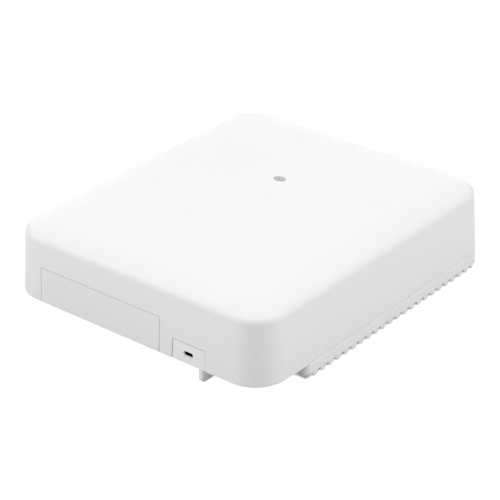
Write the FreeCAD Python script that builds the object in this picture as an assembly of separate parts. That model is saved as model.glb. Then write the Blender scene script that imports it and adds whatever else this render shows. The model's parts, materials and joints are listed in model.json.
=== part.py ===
"""Ceiling access point: finned cast base, white radome, side module door and the radio electronics inside.

Frame: millimetres. Z is up, out through the radome's face; X runs along the front side, which carries the
module door and the lock slot; Y runs from that front side to the back. The origin is on the mounting plane,
under the middle of the plan, at the ends of the four mounting studs.
"""

import FreeCAD
import Part

import math
import os

from FreeCAD import Vector

# ---------------------------------------------------------------- driving dimensions
WIDTH = 220.0                  # across the skirt, along X
DEPTH = 259.4                  # across the skirt, along Y
CORNER_R = 24.0                # plan radius of the four corners
CROWN = 3.0                    # rise of the radome's face from its rim to its flat middle
RIM_Z = 59.5                   # height of the rim, before the crown
SKIRT_Z = 12.5                 # bottom edge of the radome
WALL = 2.5                     # radome wall
SIDE_DRAFT = 2.8               # how far the sides lean in over their height
RIM_FILLET = 6.3               # soft edge between side and face
EDGE_R = 0.35                  # small radius on moulded and cast edges that show

STUD_X, STUD_Y = 50.0, 45.0    # mounting studs, half spacings
STUD_HEAD_R, STUD_HEAD_T = 5.5, 2.0
STUD_NECK_R = 3.0
STUD_THREAD_R = 2.0

FIN_BOTTOM_Z = 1.25            # ends of the cooling fins
FIN_ROOT_Z = 5.0               # underside of the base floor, between the fins
FLOOR_Z = 8.0                  # inside face of the base floor
FIN_FIRST_Y = -74.5            # middle of the front fin
FIN_PITCH = 8.38
FIN_R = 2.4                    # half width of a fin, and its rounded end
FIN_COUNT = 25
FRONT_FACE_Y = -83.1           # front of the finned block, which is the port wall
BLOCK_CORNER_R = 3.5           # plan radius at the block's two front corners
FOOT_AT = (104.0, -78.5)       # round foot at each front corner
FOOT_R = 3.0
BAND_TOP_Z = 12.3              # top of the base's outer band, just under the radome
BAND_PROUD = 0.25              # how far the band stands out past the skirt
PORT_WALL_T = 3.0
BAND_T = 5.0                   # thickness of the outer band
TONGUE_GAP = 0.6               # radome wall to the locating tongue inside it
TONGUE_TOP_Z = 17.0
RECESS_ROOF_Z = 17.0           # underside of the shelf over the cable recess
SHELF_TOP_Z = 19.5
LABEL_POCKET = 62.0            # half side of the fin-free middle of the underside

DOOR_X = (-80.5, 25.5)         # opening for the module door
DOOR_TOP_Z = 38.0
DOOR_GAP = 0.35

PANEL_X_BOTTOM = (36.2, 63.9)  # cast lock panel that fills the radome's notch
PANEL_X_TOP = (36.6, 62.5)
PANEL_TOP_Z = 26.7
PANEL_GAP = 0.4
PANEL_SETBACK = 0.35           # behind the radome's front face
PANEL_T = 3.2
LOCK_SLOT_X, LOCK_SLOT_Z = 49.6, 19.6
LOCK_SLOT_W, LOCK_SLOT_H = 7.8, 3.3
LOCK_SLOT_END_R = 1.5          # round ends of the slot
POCKET_X = (40.0, 57.6)        # room behind the slot for a lock's turning bar
POCKET_Y = (-127.6, -112.0)
POCKET_Z = (15.2, 25.2)
POCKET_WALL = 1.6
LINER_T = 0.6                  # black liner inside the pocket

HASP_X = (58.4, 61.6)          # padlock lug that hangs under the lock panel
HASP_BACK_Y = -103.0
HASP_BOTTOM_Z = 2.8
HASP_CORNER_R = 3.0
HASP_HOLE_R = 3.2
HASP_HOLE_Y, HASP_HOLE_Z = -119.0, 8.0     # low enough for a shackle to pass under the skirt

BOARD_Z = (15.0, 16.6)         # main board, bottom and top faces
BOARD_HALF_X = 93.0
BOARD_Y = (-79.6, 112.0)
TRAY_Z = (34.0, 35.2)          # antenna tray
TRAY_HALF_X = 92.0
TRAY_Y = (-84.0, 112.0)

LED_AT = (-8.4, 39.2)          # light pipe in the radome's face
LED_HALF = (4.8, 3.5)

POST_TOP_Z = 22.0              # where the radome's posts meet the base's
RADOME_POST_R, BASE_POST_R = 3.9, 4.6
PILOT_R, CLEAR_R = 1.55, 1.7   # holes that a 3 mm screw threads into and passes through
HEAD_R, HEAD_T, SHANK_R = 2.8, 1.8, 1.5
HEAD_SEAT_Z = 5.4              # counterbore of the radome screws
SIDE_POSTS = [(-101.0, -70.0), (101.0, -70.0), (-101.0, 20.0), (101.0, 20.0)]
BACK_POSTS = [(-60.0, 121.0), (60.0, 121.0)]
FRONT_POSTS = [(-95.0, -105.0), (84.0, -110.0)]
STANDOFFS = [(x, y) for x in (-84.0, 84.0) for y in (-70.0, 20.0, 100.0)]
BOARD_SCREWS = [(-32.0, 104.0), (32.0, 104.0), (0.0, 2.0)]

JACK_X = {"console_jack": -33.0, "aux_jack": -12.0, "poe_jack": 9.0}
JACK_W, JACK_LEN = 16.0, 21.0
JACK_Z = (4.9, 16.8)
JACK_MOUTH_W, JACK_MOUTH_Z = 11.9, (7.0, 14.0)
JACK_KEY_W, JACK_KEY_Z = 6.2, (5.9, 7.0)
JACK_MOUTH_DEPTH = 15.0
LAMP_X, LAMP_Z = 5.9, (14.7, 16.1)
LAMP_HALF_W, LAMP_DEEP = 1.15, 0.5
JACK_PAD_Z = 3.4               # underside of the local pad under the sunken jacks
PORT_FRONT_Y = FRONT_FACE_Y - 0.4
USB_X, DC_X, RESET_X = -53.0, -71.0, 30.0
RESET_Z = 11.2
RESET_R = 2.0
RESET_TRAVEL = 0.8
RESET_GAP = 0.15
USB_HALF_W, USB_Z = 6.6, (8.2, 14.2)
DC_HALF_W, DC_Z = 5.6, (8.3, 14.7)
GROUND_AT = (80.0, 9.6)        # X and Z of the ground screw on the port wall
GROUND_R = 2.05

BAY_X = (-84.0, 29.0)          # liner behind the module door
BAY_Y = (-125.0, -92.0)
BAY_Z = (SHELF_TOP_Z, 41.0)
BAY_MOUTH_X, BAY_MOUTH_Z = (-76.0, 21.0), (22.0, 36.5)
BAY_WALL = 1.6
BAY_SCREWS = [(-60.0, -98.0), (5.0, -98.0)]
ARM_X = (-70.0, -42.0, -13.0, 15.0)
ARM_HALF_W, ARM_LENGTH, ARM_Z = 3.5, 11.8, (36.9, 38.0)
MODULE_X = -27.0               # middle of the bay's connector

CHIPS = {                      # centre, side and height of each package under the board
    "processor": ((0.0, 38.0), 30.0),
    "radio_left": ((-48.0, 12.0), 18.0),
    "radio_right": ((48.0, 12.0), 18.0),
    "power": ((26.0, -40.0), 14.0),
}
CHIP_T = 1.8
PAD_T = 1.0

MACRO_AT = [(-62.0, 86.0, 180), (62.0, 86.0, 0), (-62.0, -60.0, 180), (62.0, -60.0, 0)]
MACRO_H = 15.0
MACRO_FEED_X = 12.5            # feed leg, in from the antenna's middle
MICRO_AT = [(-26.0, 94.0), (26.0, 94.0), (-26.0, -64.0), (26.0, -64.0)]
MICRO_H = 6.0
MICRO_PIN_X = 4.0
SOCKET_X = (40.0, 48.0, 56.0, 64.0)
SOCKET_Y = 62.0                # row of coax sockets behind the radios
SLOT_Y = 68.0                  # row of slots where the cables pass the tray
CABLE_R = 0.7
CABLE_BEND = 1.9

EPS = 0.01
FRONT_SKIN_Y = (-DEPTH / 2 - EPS, -DEPTH / 2 + SIDE_DRAFT)     # where the front wall's outer face lies


# ---------------------------------------------------------------- building blocks
def box(x, y, z):
    """Box from (low, high) pairs."""
    return Part.makeBox(x[1] - x[0], y[1] - y[0], z[1] - z[0], Vector(x[0], y[0], z[0]))


def around(centre, half):
    """(low, high) pair about a centre."""
    return (centre - half, centre + half)


def post(radius, at, z):
    """Upright cylinder."""
    return Part.makeCylinder(radius, z[1] - z[0], Vector(at[0], at[1], z[0]))


def rod_x(radius, y, z, x):
    """Cylinder lying along X."""
    return Part.makeCylinder(radius, x[1] - x[0], Vector(x[0], y, z), Vector(1, 0, 0))


def rod_y(radius, x, z, y):
    """Cylinder lying along Y."""
    return Part.makeCylinder(radius, y[1] - y[0], Vector(x, y[0], z), Vector(0, 1, 0))


def plate(x, y, z, radii):
    """Flat plate with round plan corners.

    radii is one number, or one each for the front-left, front-right, back-right and back-left corners.
    """
    if not isinstance(radii, (tuple, list)):
        radii = (radii,) * 4
    corners = [(x[0], y[0], 1, 1), (x[1], y[0], -1, 1), (x[1], y[1], -1, -1), (x[0], y[1], 1, -1)]
    ends = []
    for (cx, cy, sx, sy), r in zip(corners, radii):
        centre = Vector(cx + sx * r, cy + sy * r, z[0])
        along_x = Vector(centre.x, cy, z[0])
        along_y = Vector(cx, centre.y, z[0])
        middle = centre - Vector(sx, sy, 0) * (r / math.sqrt(2))
        first, last = (along_y, along_x) if sx * sy > 0 else (along_x, along_y)
        ends.append((first, middle, last))
    edges = []
    for i, (first, middle, last) in enumerate(ends):
        if (last - first).Length > EPS:
            edges.append(Part.Arc(first, middle, last).toShape())
        following = ends[(i + 1) % 4][0]
        if (following - last).Length > EPS:
            edges.append(Part.LineSegment(last, following).toShape())
    return Part.Face(Part.Wire(edges)).extrude(Vector(0, 0, z[1] - z[0]))


def prism_y(points, y):
    """Polygon of (x, z) points, extruded along Y."""
    wire = Part.makePolygon([Vector(px, y[0], pz) for px, pz in points + points[:1]])
    return Part.Face(wire).extrude(Vector(0, y[1] - y[0], 0))


def prism_x(points, x):
    """Polygon of (y, z) points, extruded along X."""
    wire = Part.makePolygon([Vector(x[0], py, pz) for py, pz in points + points[:1]])
    return Part.Face(wire).extrude(Vector(x[1] - x[0], 0, 0))


def oval(at, half, z):
    """Upright elliptical cylinder."""
    curve = Part.Ellipse(Vector(at[0], at[1], z[0]), half[0], half[1]).toShape()
    return Part.Face(Part.Wire([curve])).extrude(Vector(0, 0, z[1] - z[0]))


def edges_at(shape, z):
    """Edges that lie in the level plane at height z."""
    found = []
    for edge in shape.Edges:
        heights = [vertex.Z for vertex in edge.Vertexes] + [edge.CenterOfMass.z]
        if all(abs(height - z) < EPS for height in heights):
            found.append(edge)
    return found


def edges_within(shape, x, y, z):
    """Edges whose ends all lie inside the (low, high) ranges."""
    found = []
    for edge in shape.Edges:
        ends = [vertex.Point for vertex in edge.Vertexes]
        if all(x[0] <= p.x <= x[1] and y[0] <= p.y <= y[1] and z[0] <= p.z <= z[1] for p in ends):
            found.append(edge)
    return found


def joined(shapes):
    """One solid out of shapes that touch or overlap."""
    return shapes[0].fuse(shapes[1:]).removeSplitter()


def rounded_path(points, bend):
    """Wire through the points, with every corner rounded to the bend radius."""
    edges, start = [], points[0]
    for before, corner, after in zip(points, points[1:], points[2:]):
        into, out = (before - corner).normalize(), (after - corner).normalize()
        half_angle = into.getAngle(out) / 2
        reach = bend / math.tan(half_angle)
        first, last = corner + into * reach, corner + out * reach
        centre = corner + (into + out).normalize() * (bend / math.sin(half_angle))
        middle = centre + (corner - centre).normalize() * bend
        edges.append(Part.LineSegment(start, first).toShape())
        edges.append(Part.Arc(first, middle, last).toShape())
        start = last
    edges.append(Part.LineSegment(start, points[-1]).toShape())
    return Part.Wire(edges)


def tube_along(points, radius, bend):
    """Round cable through the points."""
    path = rounded_path(points, bend)
    heading = (points[1] - points[0]).normalize()
    section = Part.Wire([Part.makeCircle(radius, points[0], heading)])
    return path.makePipeShell([section], True, True)


def screw_up(at, z_seat, z_tip, head_r, head_t, shank_r):
    """Pan-head screw that points up, with a cross recess; its head hangs under z_seat."""
    head = post(head_r, at, (z_seat - head_t, z_seat))
    head = head.makeFillet(head_t * 0.45, edges_at(head, z_seat - head_t))
    body = joined([head, post(shank_r, at, (z_seat - EPS, z_tip))])
    reach, half_t = head_r * 0.55, head_r * 0.12
    drive_z = (z_seat - head_t - EPS, z_seat - head_t * 0.4)
    across = box(around(at[0], reach), around(at[1], half_t), drive_z)
    along = box(around(at[0], half_t), around(at[1], reach), drive_z)
    return body.cut([across, along])


def screw_down(at, z_seat, z_tip, head_r, head_t, shank_r):
    """The same screw, pointing down."""
    up = screw_up((0, 0), 0.0, z_seat - z_tip, head_r, head_t, shank_r)
    up.rotate(Vector(0, 0, 0), Vector(1, 0, 0), 180)
    up.translate(Vector(at[0], at[1], z_seat))
    return up


# ---------------------------------------------------------------- radome
def side_inset(z):
    """How far the side's outer face has leaned in at height z."""
    return SIDE_DRAFT * (z - SKIRT_Z) / (RIM_Z - SKIRT_Z)


def shell_profile(offset):
    """Edges of the radome's half section in (inset, z), from the skirt's bottom to the face's flat middle.

    The side leans in by the draft, a round rim joins it to the crown, and the crown is a shallow arc that is
    level where it meets the flat middle. offset moves the whole section inwards by a wall thickness.
    """
    lean = math.atan2(SIDE_DRAFT, RIM_Z - SKIRT_Z)
    up = Vector(math.sin(lean), 0, math.cos(lean))
    inward = Vector(math.cos(lean), 0, -math.sin(lean))
    top_z = RIM_Z + CROWN
    crown_r = (CORNER_R ** 2 + CROWN ** 2) / (2 * CROWN)
    crown_centre = Vector(CORNER_R, 0, top_z - crown_r)
    foot = Vector(0, 0, SKIRT_Z)
    # The rim's centre is one fillet in from the side and one fillet under the crown.
    base = foot + inward * RIM_FILLET - crown_centre
    along = base.dot(up)
    height = -along + math.sqrt(along ** 2 - base.dot(base) + (crown_r - RIM_FILLET) ** 2)
    rim_centre = foot + inward * RIM_FILLET + up * height
    to_side = inward * -1
    to_crown = (rim_centre - crown_centre).normalize()
    between = (to_side + to_crown).normalize()
    rim_r = RIM_FILLET - offset
    start = foot + inward * offset
    side_end = rim_centre + to_side * rim_r
    rim_middle = rim_centre + between * rim_r
    crown_start = rim_centre + to_crown * rim_r
    crown_end = Vector(CORNER_R, 0, top_z - offset)
    half_way = ((crown_start - crown_centre).normalize() + Vector(0, 0, 1)).normalize()
    crown_middle = crown_centre + half_way * (crown_r - offset)
    return start, side_end, rim_middle, crown_start, crown_middle, crown_end


def shell_solid(offset, bottom_z):
    """Solid inside the radome's section at that offset.

    The sides are extruded, the corners revolved, and a box fills the flat middle.
    """
    start, side_end, rim_middle, crown_start, crown_middle, crown_end = shell_profile(offset)
    low_start = Vector(start.x, 0, bottom_z)
    low_end = Vector(crown_end.x, 0, bottom_z)
    edges = [
        Part.LineSegment(start, side_end).toShape(),
        Part.Arc(side_end, rim_middle, crown_start).toShape(),
        Part.Arc(crown_start, crown_middle, crown_end).toShape(),
        Part.LineSegment(crown_end, low_end).toShape(),
        Part.LineSegment(low_end, low_start).toShape(),
    ]
    if abs(start.z - bottom_z) > EPS:
        edges.append(Part.LineSegment(low_start, start).toShape())
    section = Part.Face(Part.Wire(Part.__sortEdges__(edges)))
    half_x, half_y = WIDTH / 2 - CORNER_R, DEPTH / 2 - CORNER_R
    corner = section.copy()
    corner.translate(Vector(-CORNER_R, 0, 0))
    corner = corner.revolve(Vector(0, 0, 0), Vector(0, 0, 1), 90)
    pieces = [box((-half_x, half_x), (-half_y, half_y), (bottom_z, crown_end.z))]
    corners = [(-half_x, -half_y), (half_x, -half_y), (half_x, half_y), (-half_x, half_y)]
    for k, (cx, cy) in enumerate(corners):
        run = 2 * (half_y if k % 2 == 0 else half_x)
        side = section.copy()
        side.translate(Vector(-CORNER_R, 0, 0))
        side = side.extrude(Vector(0, run, 0))
        for piece in (corner.copy(), side):
            piece.rotate(Vector(0, 0, 0), Vector(0, 0, 1), 90 * k)
            piece.translate(Vector(cx, cy, 0))
            pieces.append(piece)
    return joined(pieces)


def outline(inset, z, front_y=None, front_r=None):
    """Plate with the unit's plan outline, moved in by inset; front_y cuts it short at the front."""
    y0 = -DEPTH / 2 + inset if front_y is None else front_y
    back_r = CORNER_R - inset
    r_front = back_r if front_r is None else front_r
    x = (-WIDTH / 2 + inset, WIDTH / 2 - inset)
    return plate(x, (y0, DEPTH / 2 - inset), z, (r_front, r_front, back_r, back_r))


def panel_prism(grow, y, z_low):
    """Trapezium of the lock panel, grown by a gap on its sides and top."""
    (b0, b1), (t0, t1) = PANEL_X_BOTTOM, PANEL_X_TOP
    top = PANEL_TOP_Z + grow
    points = [(b0 - grow, z_low), (b1 + grow, z_low), (t1 + grow, top), (t0 - grow, top)]
    return prism_y(points, y)


def make_radome(outer):
    """White moulded cover with its screw posts and the openings for the door, lock panel and light pipe."""
    hollow = shell_solid(WALL, SKIRT_Z - 5.0)
    shell = outer.cut(hollow)
    extras = []
    web_half, web_low, web_top = 0.9, POST_TOP_Z + 4.0, RIM_Z + CROWN
    wall_x, wall_y = WIDTH / 2 - 1.5, DEPTH / 2 - 1.5
    for at in SIDE_POSTS:
        web_x = (at[0], wall_x) if at[0] > 0 else (-wall_x, at[0])
        extras.append(box(web_x, around(at[1], web_half), (web_low, web_top)))
    for at in BACK_POSTS:
        extras.append(box(around(at[0], web_half), (at[1], wall_y), (web_low, web_top)))
    for at in FRONT_POSTS:
        extras.append(box(around(at[0], web_half), (-wall_y, at[1]), (web_low, web_top)))
    every_post = SIDE_POSTS + BACK_POSTS + FRONT_POSTS
    extras += [post(RADOME_POST_R, at, (POST_TOP_Z, web_top)) for at in every_post]
    extras = [piece.common(outer) for piece in extras]
    collar = oval(LED_AT, (LED_HALF[0] + 2.2, LED_HALF[1] + 2.2), (58.8, web_top - WALL + 0.5))
    shell = joined([shell] + extras + [collar])
    cuts = [post(PILOT_R, at, (POST_TOP_Z - 1.0, POST_TOP_Z + 12.0)) for at in every_post]
    cuts.append(oval(LED_AT, (LED_HALF[0] + 0.12, LED_HALF[1] + 0.12), (55.0, RIM_Z + CROWN + 1.0)))
    front_y = (-DEPTH / 2 - 1.0, -DEPTH / 2 + WALL + 2.0)
    cuts.append(box(DOOR_X, front_y, (SKIRT_Z - 1.0, DOOR_TOP_Z)))
    cuts.append(panel_prism(PANEL_GAP, front_y, SKIRT_Z - 1.0))
    shell = shell.cut(cuts)
    opening_x = (DOOR_X[0] - EPS, PANEL_X_BOTTOM[1] + 1.0)
    opening_z = (SKIRT_Z + EDGE_R - EPS, DOOR_TOP_Z + EPS)
    return shell.makeFillet(EDGE_R, edges_within(shell, opening_x, FRONT_SKIN_Y, opening_z))


def make_module_door(outer):
    """Flush side cover: a piece of the side wall with four plain latch arms behind it."""
    hollow = shell_solid(WALL - 0.3, SKIRT_Z - 5.0)
    x = (DOOR_X[0] + DOOR_GAP, DOOR_X[1] - DOOR_GAP)
    z = (SKIRT_Z, DOOR_TOP_Z - DOOR_GAP)
    blank = box(x, (-DEPTH / 2 - 1.0, -DEPTH / 2 + 6.0), z)
    face = outer.common(blank)
    front_edges = edges_within(face, (-WIDTH, WIDTH), FRONT_SKIN_Y, (SKIRT_Z + EDGE_R - EPS, DOOR_TOP_Z))
    face = face.makeFillet(EDGE_R, front_edges).cut(hollow)
    root_y = -DEPTH / 2 + side_inset(ARM_Z[0]) + WALL - 0.8
    rib_low_z = 20.0
    rib_y = [-DEPTH / 2 + side_inset(z) + WALL - 0.8 for z in (rib_low_z, ARM_Z[0])]
    rib_side_view = [
        (rib_y[0], rib_low_z),
        (rib_y[0] + 1.0, rib_low_z),
        (rib_y[1] + 1.0, ARM_Z[0]),
        (rib_y[1], ARM_Z[0]),
    ]
    side_view = [
        (root_y, ARM_Z[1]),
        (root_y + ARM_LENGTH - 2.0, ARM_Z[1]),
        (root_y + ARM_LENGTH, ARM_Z[0] + 0.5),
        (root_y + ARM_LENGTH, ARM_Z[0] + 0.3),
        (root_y, ARM_Z[0]),
    ]
    pieces = [face]
    for ax in ARM_X:
        pieces.append(prism_x(side_view, around(ax, ARM_HALF_W)))
        pieces.append(prism_x(rib_side_view, around(ax, 0.6)))
    return joined(pieces)


# ---------------------------------------------------------------- cast base
def fin_block():
    """Outer band, floor and fins, following the radome's outline behind the port wall."""
    band = outline(-BAND_PROUD, (FIN_ROOT_Z, BAND_TOP_Z), FRONT_FACE_Y, BLOCK_CORNER_R)
    band = band.makeFillet(EDGE_R, edges_at(band, BAND_TOP_Z))
    fins = []
    for i in range(FIN_COUNT):
        y = FIN_FIRST_Y + i * FIN_PITCH
        fins.append(rod_x(FIN_R, y, FIN_BOTTOM_Z + FIN_R, (-WIDTH, WIDTH)))
        fins.append(box((-WIDTH, WIDTH), around(y, FIN_R), (FIN_BOTTOM_Z + FIN_R, FIN_ROOT_Z + 0.5)))
    trim = outline(-BAND_PROUD, (FIN_BOTTOM_Z - 1.0, FIN_ROOT_Z + 0.5), FRONT_FACE_Y, BLOCK_CORNER_R)
    fins = fins[0].fuse(fins[1:]).common(trim)
    pocket = plate((-LABEL_POCKET, LABEL_POCKET), (-LABEL_POCKET, LABEL_POCKET), (0.0, FIN_ROOT_Z), 6.0)
    return joined([band, fins.cut(pocket)])


def make_base_casting():
    """One-piece cast base: fins, band, floor, port wall, recess shelf, lock panel, lug and bosses."""
    tongue_out = WALL + TONGUE_GAP
    wall_y = (FRONT_FACE_Y, FRONT_FACE_Y + PORT_WALL_T)
    well = outline(BAND_T, (FLOOR_Z, 60.0), wall_y[1], 4.0)
    tongue = outline(tongue_out, (BAND_TOP_Z - 1.0, TONGUE_TOP_Z), FRONT_FACE_Y, 4.0)
    shelf = outline(tongue_out, (RECESS_ROOF_Z, SHELF_TOP_Z))
    shelf = shelf.cut(box((-120, 120), (wall_y[1], 140), (0, 60)))
    wall_x = WIDTH / 2 - tongue_out
    port_wall = box((-wall_x, wall_x), wall_y, (BAND_TOP_Z - 1.0, RECESS_ROOF_Z + 0.5))
    body = joined([fin_block(), tongue, port_wall]).cut(well)
    body = joined([body, shelf])

    panel_face = shell_solid(PANEL_SETBACK, 0.0)
    panel = panel_prism(0.0, (-DEPTH / 2 - 1.0, POCKET_Y[0] + 2.0), SKIRT_Z).common(panel_face)
    panel = panel.cut(shell_solid(PANEL_SETBACK + PANEL_T, 0.0))
    front_range = (-DEPTH / 2 - EPS, -DEPTH / 2 + PANEL_SETBACK + SIDE_DRAFT / 2)
    panel = panel.makeFillet(EDGE_R, edges_within(panel, (-WIDTH, WIDTH), front_range, (0.0, DOOR_TOP_Z)))
    pocket_out = [around((a + b) / 2, (b - a) / 2 + POCKET_WALL) for a, b in (POCKET_X, POCKET_Y, POCKET_Z)]
    pocket_block = box(pocket_out[0], (POCKET_Y[0] - 0.2, pocket_out[1][1]), pocket_out[2])
    panel_y0 = -DEPTH / 2 + PANEL_SETBACK
    hasp = box(HASP_X, (panel_y0, HASP_BACK_Y), (HASP_BOTTOM_Z, RECESS_ROOF_Z + 0.5))
    low_corners = [e for e in edges_at(hasp, HASP_BOTTOM_Z) if e.Length < HASP_X[1] - HASP_X[0] + EPS]
    hasp = hasp.makeFillet(HASP_CORNER_R, low_corners)
    free_edges = edges_within(hasp, HASP_X, (panel_y0, HASP_BACK_Y), (0.0, SKIRT_Z - EPS))
    hasp = hasp.makeFillet(EDGE_R, free_edges).common(panel_face)
    jack_xs = sorted(JACK_X.values())
    jack_x = (jack_xs[0] - JACK_W / 2 - 2.0, jack_xs[-1] + JACK_W / 2 + 2.0)
    jack_pad = box(jack_x, (wall_y[0], FRONT_FACE_Y + JACK_LEN + 3.0), (JACK_PAD_Z, FIN_ROOT_Z + 0.5))
    additions = [panel, pocket_block, hasp, jack_pad]
    for at in SIDE_POSTS + BACK_POSTS:
        additions.append(post(BASE_POST_R, at, (FLOOR_Z - 0.5, POST_TOP_Z)))
        additions.append(post(BASE_POST_R + 0.6, at, (FIN_BOTTOM_Z, FIN_ROOT_Z + 0.5)))
    for sx in (-1, 1):
        foot = post(FOOT_R, (sx * FOOT_AT[0], FOOT_AT[1]), (FIN_BOTTOM_Z, FIN_ROOT_Z + 0.5))
        additions.append(foot.makeFillet(0.8, edges_at(foot, FIN_BOTTOM_Z)))
    for at in FRONT_POSTS:
        additions.append(post(BASE_POST_R, at, (SHELF_TOP_Z - 0.5, POST_TOP_Z)))
    for at in STANDOFFS + BOARD_SCREWS:
        additions.append(post(3.6, at, (FLOOR_Z - 0.5, BOARD_Z[0])))
    for sx in (-1, 1):
        for sy in (-1, 1):
            additions.append(post(5.0, (sx * STUD_X, sy * STUD_Y), (FLOOR_Z - 0.5, 12.4)))
    chip_face_z = BOARD_Z[0] - CHIP_T - PAD_T
    for (cx, cy), side in CHIPS.values():
        half = side / 2 + 2.0
        additions.append(box(around(cx, half), around(cy, half), (FLOOR_Z - 0.5, chip_face_z)))
    body = joined([body] + additions)

    cuts = []
    slot_x, slot_z = around(LOCK_SLOT_X, LOCK_SLOT_W / 2), around(LOCK_SLOT_Z, LOCK_SLOT_H / 2)
    slot = box(slot_x, (-DEPTH / 2 - 1.0, POCKET_Y[0] + 2.0), slot_z)
    slot_ends = [e for e in slot.Edges if e.Length > 4 and abs(e.tangentAt(e.FirstParameter).y) > 0.9]
    cuts.append(slot.makeFillet(LOCK_SLOT_END_R, slot_ends))
    cuts.append(box(POCKET_X, POCKET_Y, (POCKET_Z[0], POCKET_Z[1] + POCKET_WALL + 1.0)))
    cuts.append(rod_x(HASP_HOLE_R, HASP_HOLE_Y, HASP_HOLE_Z, (HASP_X[0] - 1.0, HASP_X[1] + 1.0)))
    for at in SIDE_POSTS + BACK_POSTS:
        cuts += [post(CLEAR_R, at, (0.0, POST_TOP_Z + 1)), post(HEAD_R + 0.3, at, (0.0, HEAD_SEAT_Z))]
    for at in FRONT_POSTS:
        cuts.append(post(CLEAR_R, at, (RECESS_ROOF_Z - 1.0, POST_TOP_Z + 1)))
    for at in STANDOFFS + BOARD_SCREWS:
        cuts.append(post(PILOT_R, at, (BOARD_Z[0] - 6.0, BOARD_Z[0] + 1)))
    for sx in (-1, 1):
        for sy in (-1, 1):
            cuts.append(post(STUD_THREAD_R + 0.05, (sx * STUD_X, sy * STUD_Y), (0.0, 11.4)))
    through_wall = (FRONT_FACE_Y - 1, wall_y[1] + 1)
    low_z = JACK_Z[0] - 0.3
    for jx in JACK_X.values():
        jack_opening_x = around(jx, JACK_W / 2 + 0.3)
        cuts.append(box(jack_opening_x, through_wall, (low_z, JACK_Z[1] + 0.2)))
        cuts.append(box(jack_opening_x, (wall_y[1], FRONT_FACE_Y + JACK_LEN + 1), (low_z, FLOOR_Z + 1)))
    cuts.append(box(around(USB_X, USB_HALF_W + 0.4), through_wall, (USB_Z[0] - 0.3, USB_Z[1] + 0.4)))
    cuts.append(box(around(DC_X, DC_HALF_W + 0.4), through_wall, (DC_Z[0] - 0.3, DC_Z[1] + 0.3)))
    cuts.append(rod_y(RESET_R + RESET_GAP, RESET_X, RESET_Z, through_wall))
    cuts.append(rod_y(GROUND_R, GROUND_AT[0], GROUND_AT[1], through_wall))
    for at in BAY_SCREWS:
        cuts.append(post(CLEAR_R, at, (RECESS_ROOF_Z - 1, SHELF_TOP_Z + 1)))
    return body.cut(cuts).removeSplitter()


def make_lock_liner():
    """Black box behind the lock slot, open towards the slot; it drops into the pocket from above."""
    z = (POCKET_Z[0] + EPS, POCKET_Z[1] + POCKET_WALL)
    x, y = (POCKET_X[0] + 0.05, POCKET_X[1] - 0.05), (POCKET_Y[0] + 0.05, POCKET_Y[1] - 0.05)
    inside_x, inside_z = (x[0] + LINER_T, x[1] - LINER_T), (z[0] + LINER_T, z[1] - LINER_T)
    return box(x, y, z).cut(box(inside_x, (y[0] - 1.0, y[1] - LINER_T), inside_z))


def make_base_gasket():
    """Flat silicone ring between the band and the radome's bottom edge."""
    z = (BAND_TOP_Z, SKIRT_Z)
    ring = outline(0.7, z, FRONT_FACE_Y + 1.0, 6.0).cut(outline(2.4, z, FRONT_FACE_Y - 1.0, 4.0))
    return ring.cut(box((-200, 200), (-200, FRONT_FACE_Y + 8.0), (0, 60)))


def make_mounting_studs():
    """Four mushroom studs: the bracket's keyholes drop over the heads and slide along the necks."""
    studs = []
    for sx in (-1, 1):
        for sy in (-1, 1):
            at = (sx * STUD_X, sy * STUD_Y)
            head = post(STUD_HEAD_R, at, (0.0, STUD_HEAD_T))
            head = head.makeChamfer(0.4, [e for e in head.Edges if len(e.Vertexes) == 1 or e.Closed])
            neck = post(STUD_NECK_R, at, (STUD_HEAD_T - EPS, FIN_ROOT_Z))
            thread = post(STUD_THREAD_R, at, (FIN_ROOT_Z - EPS, 11.0))
            stud = joined([head, neck, thread])
            studs.append(stud.cut(box(around(at[0], 3.2), around(at[1], 0.5), (-1.0, 0.7))))
    return studs


def make_rating_label():
    """Blank rating plate in the pocket between the studs."""
    return plate((-34.0, 34.0), (-24.0, 24.0), (FIN_ROOT_Z - 0.2, FIN_ROOT_Z), 3.0)


# ---------------------------------------------------------------- main board
def make_main_board():
    """Main circuit board, notched for the sunken jacks and drilled for its fasteners."""
    board = plate((-BOARD_HALF_X, BOARD_HALF_X), BOARD_Y, BOARD_Z, (3.0, 3.0, 12.0, 12.0))
    z = (BOARD_Z[0] - 1, BOARD_Z[1] + 1)
    cuts = []
    for jx in JACK_X.values():
        cuts.append(box(around(jx, JACK_W / 2 + 0.2), (-90.0, PORT_FRONT_Y + JACK_LEN + 0.2), z))
    for at in STANDOFFS + BOARD_SCREWS:
        cuts.append(post(1.7, at, z))
    return board.cut(cuts)


def shield_can(x, y, height):
    """Folded shield with a perforated lid."""
    low = BOARD_Z[1]
    can = plate(x, y, (low, low + height), 1.0)
    can = can.makeFillet(0.5, edges_at(can, low + height))
    sheet = 0.3
    inside_x, inside_y = (x[0] + sheet, x[1] - sheet), (y[0] + sheet, y[1] - sheet)
    can = can.cut(plate(inside_x, inside_y, (low, low + height - sheet), 0.6))
    hole_r, step = 0.9, 5.0
    lid_z = (low + height - 1, low + height + 1)
    columns = int((x[1] - x[0] - 8) // step) + 1
    rows = int((y[1] - y[0] - 8) // step) + 1
    x_first = (x[0] + x[1]) / 2 - (columns - 1) * step / 2
    y_first = (y[0] + y[1]) / 2 - (rows - 1) * step / 2
    holes = []
    for i in range(columns):
        for j in range(rows):
            if (i + j) % 2 == 0:
                holes.append(post(hole_r, (x_first + i * step, y_first + j * step), lid_z))
    return can.cut(holes)


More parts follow.
